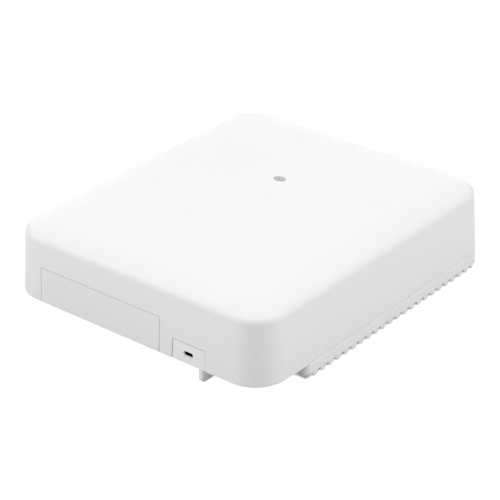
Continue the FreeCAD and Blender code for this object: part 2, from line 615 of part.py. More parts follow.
def make_rf_shields():
    """Shield cans over the two radios, the processor and the beacon radio."""
    return [
        shield_can((-74.0, -30.0), (-8.0, 56.0), 4.2),
        shield_can((30.0, 74.0), (-8.0, 56.0), 4.2),
        shield_can((-24.0, 24.0), (12.0, 62.0), 4.2),
        shield_can((-14.0, 14.0), (82.0, 100.0), 3.2),
    ]


def make_processor_chips():
    """Hot packages on the underside of the board, over the base's pedestals."""
    z = (BOARD_Z[0] - CHIP_T, BOARD_Z[0])
    return [plate(around(cx, s / 2), around(cy, s / 2), z, 0.8) for (cx, cy), s in CHIPS.values()]


def make_thermal_pads():
    """Soft pads that carry the heat from each package into the base."""
    z = (BOARD_Z[0] - CHIP_T - PAD_T, BOARD_Z[0] - CHIP_T)
    return [plate(around(cx, s / 2 + 1), around(cy, s / 2 + 1), z, 1.0) for (cx, cy), s in CHIPS.values()]


def make_memory_chips():
    """Memory and flash packages on the top of the board."""
    z = (BOARD_Z[1], BOARD_Z[1] + 1.1)
    memories = [plate(around(x, 5.0), around(-24.0, 7.0), z, 0.3) for x in (-16.0, -2.0, 12.0)]
    return memories + [plate(around(-16.0, 4.0), around(-6.0, 4.0), z, 0.3)]


def make_power_inductors():
    """Shielded power inductors: square base, round drum."""
    parts = []
    for x, y in ((44.0, -30.0), (58.0, -30.0), (44.0, -16.0), (58.0, -16.0)):
        foot = plate(around(x, 5.0), around(y, 5.0), (BOARD_Z[1], BOARD_Z[1] + 1.0), 1.4)
        drum = post(4.6, (x, y), (BOARD_Z[1] + 1.0 - EPS, BOARD_Z[1] + 4.6))
        drum = drum.makeFillet(0.6, edges_at(drum, BOARD_Z[1] + 4.6))
        parts.append(joined([foot, drum]))
    return parts


def make_bulk_capacitors():
    """Radial electrolytic capacitors with a crimp and a vented top."""
    parts = []
    low = BOARD_Z[1]
    high = low + 12.0
    for x, y in ((72.0, -52.0), (72.0, -40.0), (72.0, -28.0), (60.0, -64.0), (60.0, -52.0)):
        can = post(4.6, (x, y), (low, high))
        can = can.makeFillet(0.5, edges_at(can, high))
        groove = Part.makeTorus(4.8, 0.45, Vector(x, y, low + 1.8))
        across = box(around(x, 3.2), around(y, 0.15), (high - 0.3, high + 1))
        along = box(around(x, 0.15), around(y, 3.2), (high - 0.3, high + 1))
        parts.append(can.cut([groove, across, along]))
    return parts


def make_power_transformer():
    """Isolating transformer of the power-over-Ethernet input: ferrite core over a wound bobbin."""
    cx, cy, low = 42.0, -56.0, BOARD_Z[1]
    bobbin = plate(around(cx, 9.0), around(cy, 7.0), (low, low + 1.6), 1.0)
    winding = post(5.4, (cx, cy), (low + 1.6 - EPS, low + 8.4))
    core_top = box(around(cx, 8.6), around(cy, 4.6), (low + 8.4 - EPS, low + 11.0))
    limbs = [box(around(cx + s * 7.6, 1.0), around(cy, 4.6), (low + 1.6 - EPS, low + 8.4)) for s in (-1, 1)]
    return joined([bobbin, winding, core_top] + limbs)


def make_ethernet_magnetics():
    """Line transformer packages behind the jacks."""
    z = (BOARD_Z[1], BOARD_Z[1] + 6.0)
    parts = []
    for jx in JACK_X.values():
        body = plate(around(jx, 7.5), around(-50.0, 6.5), z, 0.6)
        parts.append(body.makeChamfer(0.5, edges_at(body, z[1])))
    return parts


# ---------------------------------------------------------------- ports
def make_jack(jx):
    """Shielded eight-way jack with a keyed mouth and two small lamp windows."""
    body = box(around(jx, JACK_W / 2), (PORT_FRONT_Y, PORT_FRONT_Y + JACK_LEN), JACK_Z)
    mouth_y = (PORT_FRONT_Y - 1, PORT_FRONT_Y + JACK_MOUTH_DEPTH)
    cuts = [
        box(around(jx, JACK_MOUTH_W / 2), mouth_y, JACK_MOUTH_Z),
        box(around(jx, JACK_KEY_W / 2), mouth_y, (JACK_KEY_Z[0], JACK_KEY_Z[1] + EPS)),
    ]
    lamp_y, lamp_z = (PORT_FRONT_Y - 1, PORT_FRONT_Y + LAMP_DEEP), (LAMP_Z[0] - 0.05, LAMP_Z[1] + 0.05)
    for side in (-1, 1):
        cuts.append(box(around(jx + side * LAMP_X, LAMP_HALF_W + 0.05), lamp_y, lamp_z))
    return body.cut(cuts)


def make_jack_lamps():
    """Small link lamps above each jack's mouth."""
    lamps = []
    for jx in JACK_X.values():
        for side in (-1, 1):
            lamp_x = around(jx + side * LAMP_X, LAMP_HALF_W)
            lamps.append(box(lamp_x, (PORT_FRONT_Y - 0.1, PORT_FRONT_Y + LAMP_DEEP), LAMP_Z))
    return lamps


def make_jack_contacts():
    """Eight sprung contacts in each jack, slanting down into the mouth."""
    high, drop, wire = JACK_MOUTH_Z[1], 3.6, 0.4
    front, knee, back = PORT_FRONT_Y + 4.0, PORT_FRONT_Y + 13.0, PORT_FRONT_Y + JACK_MOUTH_DEPTH
    side_view = [
        (front, high),
        (front + wire, high),
        (knee, high - drop),
        (back, high - drop),
        (back, high - drop - wire),
        (knee - 0.1, high - drop - wire),
    ]
    parts = []
    for jx in JACK_X.values():
        for i in range(8):
            parts.append(prism_x(side_view, around(jx + (i - 3.5) * 1.02, 0.22)))
    return parts


def make_usb_port():
    """Type A port: drawn shell, flared mouth and contact tongue."""
    x, z, y = around(USB_X, USB_HALF_W), USB_Z, (PORT_FRONT_Y, PORT_FRONT_Y + 14.0)
    sheet = 0.4
    mouth = box((x[0] + sheet, x[1] - sheet), (y[0] - 1, y[1] - sheet), (z[0] + sheet, z[1] - sheet))
    shell = box(x, y, z).cut(mouth)
    tongue = box((x[0] + 1.0, x[1] - 1.0), (y[0] + 1.2, y[1] - 0.3), (z[0] + 3.0, z[0] + 4.8))
    stand = box((x[0] + 1.0, x[1] - 1.0), (PORT_FRONT_Y + PORT_WALL_T + 2.0, y[1]), (z[1] - EPS, BOARD_Z[0]))
    return joined([shell, tongue, stand])


def make_dc_inlet():
    """Two-way latched power inlet."""
    x, z, y = around(DC_X, DC_HALF_W), DC_Z, (PORT_FRONT_Y, PORT_FRONT_Y + 12.0)
    wall = 0.9
    mouth = box((x[0] + wall, x[1] - wall), (y[0] - 1, y[0] + 8.5), (z[0] + wall, z[1] - wall))
    body = box(x, y, z).cut(mouth)
    pin_y, pin_z = (y[0] + 2.0, y[0] + 9.0), around((z[0] + z[1]) / 2, 0.5)
    pins = [box(around(DC_X + side * 2.1, 0.5), pin_y, pin_z) for side in (-1, 1)]
    stand = box(x, (PORT_FRONT_Y + PORT_WALL_T + 2.0, y[1]), (z[1] - EPS, BOARD_Z[0]))
    return joined([body, stand] + pins)


def make_reset_button():
    """Push button: round cap, retaining flange and stem."""
    y0 = PORT_FRONT_Y - 0.5
    wall_back = FRONT_FACE_Y + PORT_WALL_T
    cap = rod_y(RESET_R, RESET_X, RESET_Z, (y0, wall_back + 0.1))
    front_edges = [e for e in cap.Edges if abs(e.CenterOfMass.y - y0) < EPS and e.Closed]
    cap = cap.makeFillet(0.5, front_edges)
    flange = rod_y(RESET_R + 0.9, RESET_X, RESET_Z, (wall_back + 0.05, wall_back + 0.85))
    stem = rod_y(1.1, RESET_X, RESET_Z, (wall_back + 0.8, wall_back + 2.4))
    return joined([cap, flange, stem])


def make_reset_switch():
    """Side-push switch behind the button, hanging from the board."""
    y0 = FRONT_FACE_Y + PORT_WALL_T + 2.4 + RESET_TRAVEL + 0.05
    case = box(around(RESET_X, 3.0), (y0 + 0.6, y0 + 4.4), (RESET_Z - 2.4, BOARD_Z[0]))
    nub = rod_y(0.9, RESET_X, RESET_Z, (y0, y0 + 0.7))
    return joined([case, nub])


def make_ground_screw():
    """Ground screw and its washer on the port wall."""
    x, z = GROUND_AT
    screw = screw_up((0, 0), 0.0, 4.6, 3.6, 2.2, 2.0)
    screw.rotate(Vector(0, 0, 0), Vector(1, 0, 0), -90)
    screw.translate(Vector(x, FRONT_FACE_Y - 0.7, z))
    washer = rod_y(4.6, x, z, (FRONT_FACE_Y - 0.7, FRONT_FACE_Y))
    return [screw, washer.cut(rod_y(GROUND_R, x, z, (FRONT_FACE_Y - 2, FRONT_FACE_Y + 1)))]


# ---------------------------------------------------------------- module bay
def make_module_bay():
    """Plastic liner behind the door, closed on five sides, with slots for the door's arms."""
    block = plate(BAY_X, BAY_Y, BAY_Z, (1.0, 1.0, 4.0, 4.0))
    hollow = plate(BAY_MOUTH_X, (BAY_Y[0] - 1, BAY_Y[1] - BAY_WALL), BAY_MOUTH_Z, (0.5, 0.5, 3.0, 3.0))
    cuts = [hollow]
    flange_t = 2.0
    above = (BAY_MOUTH_Z[1] + BAY_WALL, BAY_Z[1] + 1)
    cuts.append(box((BAY_X[0] - 1, BAY_X[1] + 1), (BAY_Y[0] + flange_t, BAY_Y[1] + 1), above))
    for x in ((BAY_X[0] - 1, BAY_MOUTH_X[0] - BAY_WALL), (BAY_MOUTH_X[1] + BAY_WALL, BAY_X[1] + 1)):
        cuts.append(box(x, (BAY_Y[0] + flange_t, BAY_Y[1] + 1), (SHELF_TOP_Z + 1.6, BAY_Z[1] + 1)))
    for ax in ARM_X:
        cuts.append(box(around(ax, 3.8), (BAY_Y[0] - 1, BAY_Y[0] + 12.6), (BAY_MOUTH_Z[1] - 1.0, 38.45)))
    cuts.append(box(around(MODULE_X, 17.5), (BAY_Y[1] - BAY_WALL - 1, BAY_Y[1] + 1), (25.0, 33.0)))
    for at in BAY_SCREWS:
        cuts.append(post(PILOT_R, at, (SHELF_TOP_Z - 1, BAY_MOUTH_Z[0] + 1)))
    return block.cut(cuts)


def make_module_connector():
    """Edge receptacle that the plug-in module meets at the back of the bay."""
    y = (BAY_Y[1] - BAY_WALL - 5.0, BAY_Y[1] + 3.0)
    body = box(around(MODULE_X, 17.4), y, (25.1, 32.9))
    slot = box(around(MODULE_X, 15.5), (y[0] - 1, y[0] + 4.5), (28.3, 29.7))
    return body.cut(slot)


# ---------------------------------------------------------------- antennas and tray
def make_antenna_tray():
    """Folded sheet that carries the antennas and is their ground plane."""
    sheet = TRAY_Z[1] - TRAY_Z[0]
    tray = plate((-TRAY_HALF_X, TRAY_HALF_X), TRAY_Y, TRAY_Z, (6.0, 6.0, 14.0, 14.0))
    flange_y, flange_z = (-70.0, 90.0), (TRAY_Z[0] - 5.0, TRAY_Z[1])
    left = box((-TRAY_HALF_X, -TRAY_HALF_X + sheet), flange_y, flange_z)
    right = box((TRAY_HALF_X - sheet, TRAY_HALF_X), flange_y, flange_z)
    tray = joined([tray, left, right])
    z = (TRAY_Z[0] - 6, TRAY_Z[1] + 1)
    cuts = [post(CLEAR_R, at, z) for at in STANDOFFS]
    for sx in (-1, 1):
        cuts.append(plate(around(sx * 52.0, 16.0), around(68.0, 4.0), z, 3.9))
        for i in range(4):
            cuts.append(plate(around(sx * (24.0 + 16.0 * i), 5.0), around(-30.0, 1.8), z, 1.7))
    return tray.cut(cuts)


def make_tray_standoffs():
    """Hexagonal standoffs that clamp the board and hold up the tray."""
    parts = []
    corner_r = 3.2
    for at in STANDOFFS:
        ring = []
        for k in range(7):
            turn = math.radians(60 * k)
            corner = Vector(at[0] + corner_r * math.cos(turn), at[1] + corner_r * math.sin(turn), BOARD_Z[1])
            ring.append(corner)
        hexagon = Part.Face(Part.makePolygon(ring)).extrude(Vector(0, 0, TRAY_Z[0] - BOARD_Z[1]))
        stud = post(1.5, at, (BOARD_Z[0] - 5.5, BOARD_Z[1] + EPS))
        bore = post(1.55, at, (TRAY_Z[0] - 6.0, TRAY_Z[0] + 1))
        parts.append(joined([hexagon, stud]).cut(bore))
    return parts


def macro_antenna(cx, cy, turn):
    """Bent-sheet dual-band antenna: slotted top plate, feed leg, shorting leg and foot."""
    t = 0.6
    low = TRAY_Z[1]
    high = low + MACRO_H
    top = plate((-17.0, 17.0), (-13.0, 13.0), (high, high + t), 2.0)
    long_slot = box((-10.0, 17.5), (2.0, 3.6), (low, high + 1))
    short_slot = box((-10.0, -8.4), (-8.0, 3.6), (low, high + 1))
    top = top.cut([long_slot, short_slot])
    short = box((-17.0, -17.0 + t), (-7.0, 7.0), (low, high + t))
    foot = box((-25.0, -17.0 + t), (-7.0, 7.0), (low, low + t))
    foot = foot.cut(post(CLEAR_R, (-21.5, 0), (low - 1, low + 2)))
    feed = box((-MACRO_FEED_X, -MACRO_FEED_X + t), (-1.5, 1.5), (low + 1.6, high + t))
    shape = joined([top, short, foot, feed])
    shape.rotate(Vector(0, 0, 0), Vector(0, 0, 1), turn)
    shape.translate(Vector(cx, cy, 0))
    return shape


def make_macro_antennas():
    """Wide-cell antennas at the four corners of the tray."""
    return [macro_antenna(*place) for place in MACRO_AT]


def make_micro_antennas():
    """Small-cell patch antennas: square patch with trimmed corners on a feed pin."""
    parts = []
    low = TRAY_Z[1]
    for x, y in MICRO_AT:
        patch_z = (low + MICRO_H, low + MICRO_H + 0.6)
        patch = plate(around(x, 11.0), around(y, 11.0), patch_z, (4.0, 0.6, 4.0, 0.6))
        pin = post(0.6, (x + MICRO_PIN_X, y), (low + 0.4, low + MICRO_H + EPS))
        parts.append(joined([patch, pin]))
    return parts


def make_antenna_spacers():
    """Nylon posts under the patches and under the free ends of the corner antennas."""
    parts = []
    low = TRAY_Z[1]
    for x, y in MICRO_AT:
        for sx, sy in ((-1, -1), (1, 1)):
            parts.append(post(1.6, (x + sx * 7.5, y + sy * 7.5), (low, low + MICRO_H)))
    for x, y, turn in MACRO_AT:
        side = -1 if turn else 1
        for dy in (-8.0, 8.0):
            parts.append(post(1.8, (x + side * 13.0, y + dy), (low, low + MACRO_H)))
    return parts


def make_beacon_antenna():
    """Upright printed antenna of the beacon radio."""
    low = TRAY_Z[1]
    panel = box((-12.0, 12.0), (8.0, 9.0), (low, low + 14.0))
    foot = box((-6.0, 6.0), (5.0, 8.2), (low, low + 2.5))
    return joined([panel, foot])


def make_rf_connectors():
    """Snap sockets on the board with the cable plugs on them, four beside each radio."""
    parts = []
    for side in (-1, 1):
        for x in SOCKET_X:
            at = (side * x, SOCKET_Y)
            socket = plate(around(at[0], 1.6), around(at[1], 1.6), (BOARD_Z[1], BOARD_Z[1] + 0.8), 0.3)
            plug = post(1.5, at, (BOARD_Z[1] + 0.8 - EPS, BOARD_Z[1] + 2.0))
            parts.append(joined([socket, plug]))
    return parts


def coax_cable(socket_x, level_points):
    """One cable: up from its socket, through the tray's slot, then level through the (x, y) points."""
    run_z = TRAY_Z[1] + CABLE_R + 0.3
    path = [
        Vector(socket_x, SOCKET_Y, BOARD_Z[1] + 2.0),
        Vector(socket_x, SOCKET_Y, BOARD_Z[1] + 7.0),
        Vector(socket_x, SLOT_Y, BOARD_Z[1] + 11.0),
        Vector(socket_x, SLOT_Y, run_z),
    ]
    path += [Vector(x, y, run_z) for x, y in level_points]
    return tube_along(path, CABLE_R, CABLE_BEND)


def make_coax_cables():
    """Thin coax from the board's sockets to the feed of each antenna."""
    parts = []
    gap = CABLE_R + 0.3
    macro_back_y, macro_front_y = MACRO_AT[0][1], MACRO_AT[2][1]
    micro_back_y, micro_front_y = MICRO_AT[0][1] - gap, MICRO_AT[2][1] + gap
    back_turn_y, front_turn_y = 75.0, -44.0
    for side in (-1, 1):
        x1, x2, x3, x4 = [side * x for x in SOCKET_X]
        pin_x = side * MICRO_AT[1][0] + MICRO_PIN_X
        feed_x = side * (MACRO_AT[1][0] - MACRO_FEED_X + 2 * CABLE_R + gap)
        parts.append(coax_cable(x1, [(x1, back_turn_y), (pin_x, back_turn_y), (pin_x, micro_back_y)]))
        parts.append(coax_cable(x2, [(x2, front_turn_y), (pin_x, front_turn_y), (pin_x, micro_front_y)]))
        parts.append(coax_cable(x3, [(x3, macro_back_y), (feed_x, macro_back_y)]))
        parts.append(coax_cable(x4, [(x4, macro_front_y), (feed_x, macro_front_y)]))
    return parts


# ---------------------------------------------------------------- status light
def make_led_board():
    """Small board that holds the status light under the light pipe."""
    x, y = LED_AT
    low = TRAY_Z[1] + 2.0
    board = plate(around(x, 12.0), around(y, 6.0), (low, low + 1.0), 1.5)
    return board.cut([post(1.3, (x + s * 9.0, y), (low - 1, low + 2)) for s in (-1, 1)])


def make_led_spacers():
    """Push-in spacers between the tray and the light's board."""
    x, y = LED_AT
    low = TRAY_Z[1]
    parts = []
    for s in (-1, 1):
        at = (x + s * 9.0, y)
        parts.append(joined([post(2.4, at, (low, low + 2.0)), post(1.2, at, (low + 2.0 - EPS, low + 3.6)),
                             post(1.9, at, (low + 3.0, low + 3.8))]))
    return parts


def make_status_led():
    """Surface-mount three-colour light."""
    x, y = LED_AT
    low = TRAY_Z[1] + 3.0
    case = box(around(x, 1.75), around(y, 1.4), (low, low + 1.9))
    return case.cut(post(1.1, (x, y), (low + 1.3, low + 3)))


def make_light_pipe():
    """Clear pipe from the status light to the radome's face, with an oval head and a stop flange."""
    x, y = LED_AT
    head = oval(LED_AT, LED_HALF, (54.0, RIM_Z + CROWN - 0.15))
    flange = oval(LED_AT, (LED_HALF[0] + 1.2, LED_HALF[1] + 1.2), (56.6, 58.7))
    stem = Part.makeCone(2.4, 3.3, 54.0 - 40.4 + EPS, Vector(x, y, 40.4))
    return joined([head, flange, stem])


# ---------------------------------------------------------------- fasteners
def make_radome_screws():
    """Screws that hold the radome, driven from below."""
    parts = []
    for at in SIDE_POSTS + BACK_POSTS:
        parts.append(screw_up(at, HEAD_SEAT_Z, POST_TOP_Z + 10.0, HEAD_R, HEAD_T, SHANK_R))
    for at in FRONT_POSTS:
        parts.append(screw_up(at, RECESS_ROOF_Z, POST_TOP_Z + 8.0, HEAD_R, HEAD_T, SHANK_R))
    return parts


def make_board_screws():
    """Screws that hold the board to the base between the standoffs."""
    return [screw_down(at, BOARD_Z[1], BOARD_Z[0] - 5.5, HEAD_R, HEAD_T, SHANK_R) for at in BOARD_SCREWS]


def make_tray_screws():
    """Screws that hold the tray to its standoffs."""
    return [screw_down(at, TRAY_Z[1], TRAY_Z[0] - 5.0, HEAD_R, HEAD_T, SHANK_R) for at in STANDOFFS]


def make_bay_screws():
    """Screws that hold the bay liner, driven up through the shelf."""
    return [screw_up(at, RECESS_ROOF_Z, BAY_MOUTH_Z[0] - 0.3, HEAD_R, HEAD_T, SHANK_R) for at in BAY_SCREWS]


# ---------------------------------------------------------------- build
def save(name, shape):
    """Writes one node, as one solid or as a group of separate solids."""
    shapes = shape if isinstance(shape, list) else [shape]
    solids = [solid for s in shapes for solid in s.Solids]
    bad = [s for s in solids if not s.isValid() or not s.isClosed() or s.Volume <= 0]
    volume = sum(s.Volume for s in solids)
    print(f"{name:22s} solids {len(solids):3d}  volume {volume:12.1f}  {'BAD' if bad else 'ok'}")
    whole = solids[0] if len(solids) == 1 else Part.makeCompound(solids)
    whole.exportStep(f"parts/{name}.step")


def main():
    os.makedirs("parts", exist_ok=True)
    outer = shell_solid(0.0, SKIRT_Z)
    outer = outer.makeFillet(EDGE_R, edges_at(outer, SKIRT_Z))
    save("radome", make_radome(outer))
    save("module_door", make_module_door(outer))
    save("base_casting", make_base_casting())
    save("lock_liner", make_lock_liner())
    save("base_gasket", make_base_gasket())
    save("mounting_studs", make_mounting_studs())
    save("rating_label", make_rating_label())
    save("main_board", make_main_board())
    save("rf_shields", make_rf_shields())
    save("processor_chips", make_processor_chips())
    save("thermal_pads", make_thermal_pads())
    save("memory_chips", make_memory_chips())
    save("power_inductors", make_power_inductors())
    save("bulk_capacitors", make_bulk_capacitors())
    save("power_transformer", make_power_transformer())
    save("ethernet_magnetics", make_ethernet_magnetics())
    for name, jx in JACK_X.items():
        save(name, make_jack(jx))
    save("jack_contacts", make_jack_contacts())
    save("jack_lamps", make_jack_lamps())
    save("usb_port", make_usb_port())
    save("dc_inlet", make_dc_inlet())
    save("reset_button", make_reset_button())
    save("reset_switch", make_reset_switch())
    save("ground_screw", make_ground_screw())
    save("module_bay", make_module_bay())
    save("module_connector", make_module_connector())
    save("antenna_tray", make_antenna_tray())
    save("tray_standoffs", make_tray_standoffs())
    save("macro_antennas", make_macro_antennas())
    save("micro_antennas", make_micro_antennas())
    save("antenna_spacers", make_antenna_spacers())
    save("beacon_antenna", make_beacon_antenna())
    save("rf_connectors", make_rf_connectors())
    save("coax_cables", make_coax_cables())
    save("led_board", make_led_board())
    save("led_spacers", make_led_spacers())
    save("status_led", make_status_led())
    save("light_pipe", make_light_pipe())
    save("radome_screws", make_radome_screws())
    save("board_screws", make_board_screws())
    save("tray_screws", make_tray_screws())
    save("bay_screws", make_bay_screws())


main()
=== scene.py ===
"""Looks, light and camera for the ceiling access point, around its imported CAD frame.

Every length is in metres, in the CAD's own frame. Noise scales are in features per metre.
"""

import json
import math

import bpy
import bmesh
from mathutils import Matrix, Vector


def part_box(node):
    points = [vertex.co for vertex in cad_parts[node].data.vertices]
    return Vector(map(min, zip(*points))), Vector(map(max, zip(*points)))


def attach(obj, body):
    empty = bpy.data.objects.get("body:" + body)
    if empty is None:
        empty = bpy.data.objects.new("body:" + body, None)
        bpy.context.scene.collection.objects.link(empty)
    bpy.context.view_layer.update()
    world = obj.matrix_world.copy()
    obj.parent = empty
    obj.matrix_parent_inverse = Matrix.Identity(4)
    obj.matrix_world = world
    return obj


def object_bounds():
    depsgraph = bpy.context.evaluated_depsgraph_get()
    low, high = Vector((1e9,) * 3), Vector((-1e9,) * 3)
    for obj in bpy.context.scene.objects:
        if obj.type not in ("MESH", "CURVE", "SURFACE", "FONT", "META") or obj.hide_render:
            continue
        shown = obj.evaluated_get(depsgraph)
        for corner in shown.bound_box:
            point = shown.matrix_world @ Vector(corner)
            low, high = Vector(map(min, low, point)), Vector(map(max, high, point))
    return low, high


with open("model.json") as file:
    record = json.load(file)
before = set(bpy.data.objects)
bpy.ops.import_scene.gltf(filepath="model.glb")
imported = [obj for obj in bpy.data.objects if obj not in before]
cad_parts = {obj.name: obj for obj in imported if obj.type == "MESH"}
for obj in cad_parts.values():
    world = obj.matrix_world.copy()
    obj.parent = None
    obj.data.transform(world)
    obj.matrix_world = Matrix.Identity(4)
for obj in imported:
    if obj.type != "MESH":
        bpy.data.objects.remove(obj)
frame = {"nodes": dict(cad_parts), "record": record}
cad_low, cad_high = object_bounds()
MM = 0.001


# ---------------------------------------------------------------- shader building
class Shader:
    """A material with a Principled surface, and short calls for the nodes it is made of."""

    def __init__(self, name, roughness=0.5, metallic=0.0):
        self.material = bpy.data.materials.new(name)
        self.material.use_nodes = True
        self.tree = self.material.node_tree
        self.tree.nodes.clear()
        self.output = self.tree.nodes.new("ShaderNodeOutputMaterial")
        self.surface = self.tree.nodes.new("ShaderNodeBsdfPrincipled")
        self.tree.links.new(self.surface.outputs[0], self.output.inputs["Surface"])
        self.set(Roughness=roughness, Metallic=metallic)
        self.place = self.add("ShaderNodeTexCoord").outputs["Object"]

    def add(self, kind, **inputs):
        """New node. Each input is a value or another node's output."""
        node = self.tree.nodes.new(kind)
        for name, value in inputs.items():
            self.feed(node.inputs[name.replace("_", " ")], value)
        return node

    def feed(self, socket, value):
        if isinstance(value, bpy.types.NodeSocket):
            self.tree.links.new(value, socket)
        else:
            socket.default_value = value

    def set(self, **inputs):
        """Sets or links inputs of the Principled surface."""
        for name, value in inputs.items():
            self.feed(self.surface.inputs[name.replace("_", " ")], value)

    def stretched(self, x=1.0, y=1.0, z=1.0):
        """Coordinates scaled per axis, for brushed or layered grain."""
        mapping = self.add("ShaderNodeMapping", Vector=self.place)
        mapping.inputs["Scale"].default_value = (x, y, z)
        return mapping.outputs[0]

    def noise(self, scale, detail=2.0, place=None):
        node = self.add("ShaderNodeTexNoise", Vector=place or self.place, Scale=scale, Detail=detail)
        return node.outputs["Fac"]

    def cells(self, scale):
        return self.add("ShaderNodeTexVoronoi", Vector=self.place, Scale=scale).outputs["Distance"]

    def calc(self, operation, a, b=0.0):
        node = self.tree.nodes.new("ShaderNodeMath")
        node.operation = operation
        self.feed(node.inputs[0], a)
        self.feed(node.inputs[1], b)
        return node.outputs[0]

    def span(self, value, low, high, to_low=0.0, to_high=1.0):
        """Maps low..high to to_low..to_high, clamped."""
        node = self.tree.nodes.new("ShaderNodeMapRange")
        for socket, number in zip(node.inputs, (value, low, high, to_low, to_high)):
            self.feed(socket, number)
        return node.outputs[0]

    def mix(self, factor, a, b):
        """Colour a where factor is 0, b where it is 1."""
        node = self.tree.nodes.new("ShaderNodeMix")
        node.data_type = "RGBA"
        self.feed(node.inputs["Factor"], factor)
        self.feed(node.inputs[6], rgba(a))
        self.feed(node.inputs[7], rgba(b))
        return node.outputs[2]

    def bump(self, height, strength, depth, normal=None):
        node = self.add("ShaderNodeBump", Height=height, Strength=strength, Distance=depth)
        if normal is not None:
            self.feed(node.inputs["Normal"], normal)
        return node.outputs[0]

    def soft_edges(self, radius):
        """Normals rounded over sharp edges."""
        node = self.add("ShaderNodeBevel", Radius=radius)
        node.samples = 4
        return node.outputs[0]

    def edge_mask(self, radius):
        """About 1 on sharp edges, 0 on open faces."""
        flat = self.add("ShaderNodeNewGeometry").outputs["Normal"]
        product = self.tree.nodes.new("ShaderNodeVectorMath")
        product.operation = "DOT_PRODUCT"
        self.feed(product.inputs[0], self.soft_edges(radius))
        self.feed(product.inputs[1], flat)
        return self.span(product.outputs["Value"], 0.98, 0.75)


def rgba(value):
    """A socket as it is, and a grey or an RGB colour with its alpha."""
    if isinstance(value, bpy.types.NodeSocket):
        return value
    if isinstance(value, float):
        return (value, value, value, 1.0)
    return (*value, 1.0)


# ---------------------------------------------------------------- materials
TONE_DRIFT = 0.012           # how far moulded plastic drifts darker and lighter than its colour


def moulded_plastic(name, colour, grain=2300.0, depth=0.022 * MM, rough=(0.44, 0.56)):
    """Spark-eroded moulding: fine even grain, a slow drift in tone, and faint flow marks."""
    s = Shader(name)
    slow = s.noise(14.0, 3.0)
    dark = tuple(c * (1 - TONE_DRIFT) for c in colour)
    light = tuple(min(c * (1 + TONE_DRIFT), 1.0) for c in colour)
    s.set(Base_Color=s.mix(slow, dark, light))
    patches = s.noise(55.0, 4.0)
    s.set(Roughness=s.span(patches, 0.3, 0.7, rough[0], rough[1]), IOR=1.49)
    fine = s.noise(grain, 3.0)
    pits = s.cells(grain * 0.8)
    height = s.calc("ADD", fine, s.calc("MULTIPLY", pits, 0.5))
    wavy = s.bump(s.noise(38.0, 1.0), 0.25, 0.06 * MM, s.soft_edges(0.25 * MM))
    s.set(Normal=s.bump(height, 0.55, depth, wavy))
    return s


def powder_coat(name, colour):
    """Powder coat over a casting: orange peel, tiny pits, and a thinner, duller film on the edges."""
    s = Shader(name)
    slow = s.noise(30.0, 3.0)
    film = s.mix(slow, tuple(c * 0.975 for c in colour), colour)
    worn = s.calc("MULTIPLY", s.edge_mask(0.5 * MM), s.span(s.noise(160.0, 4.0), 0.42, 0.62))
    s.set(Base_Color=s.mix(s.calc("MULTIPLY", worn, 0.35), film, tuple(c * 0.78 for c in colour)))
    s.set(Roughness=s.span(s.noise(90.0, 3.0), 0.3, 0.7, 0.40, 0.58))
    peel = s.noise(620.0, 2.0)
    sand = s.noise(2600.0, 2.0)
    height = s.calc("ADD", peel, s.calc("MULTIPLY", sand, 0.35))
    s.set(Normal=s.bump(height, 0.6, 0.05 * MM, s.soft_edges(0.4 * MM)))
    return s


def sheet_metal(name, colour, along):
    """Rolled or drawn metal: fine scratches along one axis and a faint cloudiness."""
    s = Shader(name, metallic=1.0)
    stretch = {"x": (0.03, 1.0, 1.0), "y": (1.0, 0.03, 1.0), "z": (1.0, 1.0, 0.03)}[along]
    lines = s.noise(3200.0, 2.0, s.stretched(*stretch))
    clouds = s.noise(120.0, 4.0)
    s.set(Base_Color=s.mix(clouds, tuple(c * 0.9 for c in colour), colour))
    both = s.calc("ADD", s.calc("MULTIPLY", lines, 0.6), s.calc("MULTIPLY", clouds, 0.4))
    s.set(Roughness=s.span(both, 0.3, 0.7, 0.24, 0.42))
    s.set(Normal=s.bump(lines, 0.35, 0.01 * MM, s.soft_edges(0.12 * MM)))
    return s


def spangled_zinc(name, colour):
    """Galvanised sheet: crystals a few millimetres wide, each a little lighter or duller."""
    s = Shader(name, metallic=1.0)
    cell = s.add("ShaderNodeTexVoronoi", Vector=s.place, Scale=240.0).outputs["Color"]
    tone = s.add("ShaderNodeSeparateColor", Color=cell).outputs[0]
    s.set(Base_Color=s.mix(tone, tuple(c * 0.82 for c in colour), colour))
    s.set(Roughness=s.span(tone, 0.0, 1.0, 0.30, 0.52))
    s.set(Normal=s.bump(s.noise(1500.0, 2.0), 0.25, 0.01 * MM, s.soft_edges(0.15 * MM)))
    return s


def turned_metal(name, colour):
    """Turned and plated: a fine grain, and small patches where the plating is darker."""
    s = Shader(name, metallic=1.0)
    grain = s.noise(2600.0, 3.0)
    s.set(Base_Color=s.mix(s.noise(300.0, 3.0), tuple(c * 0.86 for c in colour), colour))
    s.set(Roughness=s.span(grain, 0.3, 0.7, 0.18, 0.36))
    s.set(Normal=s.bump(grain, 0.3, 0.012 * MM, s.soft_edges(0.12 * MM)))
    return s


def dull_rubber(name, colour):
    """Matt silicone with a fine talc bloom."""
    s = Shader(name, roughness=0.85)
    bloom = s.noise(420.0, 4.0)
    s.set(Base_Color=s.mix(s.span(bloom, 0.45, 0.8), colour, tuple(c + 0.06 for c in colour)))
    s.set(Normal=s.bump(s.noise(1800.0, 3.0), 0.4, 0.02 * MM))
    return s


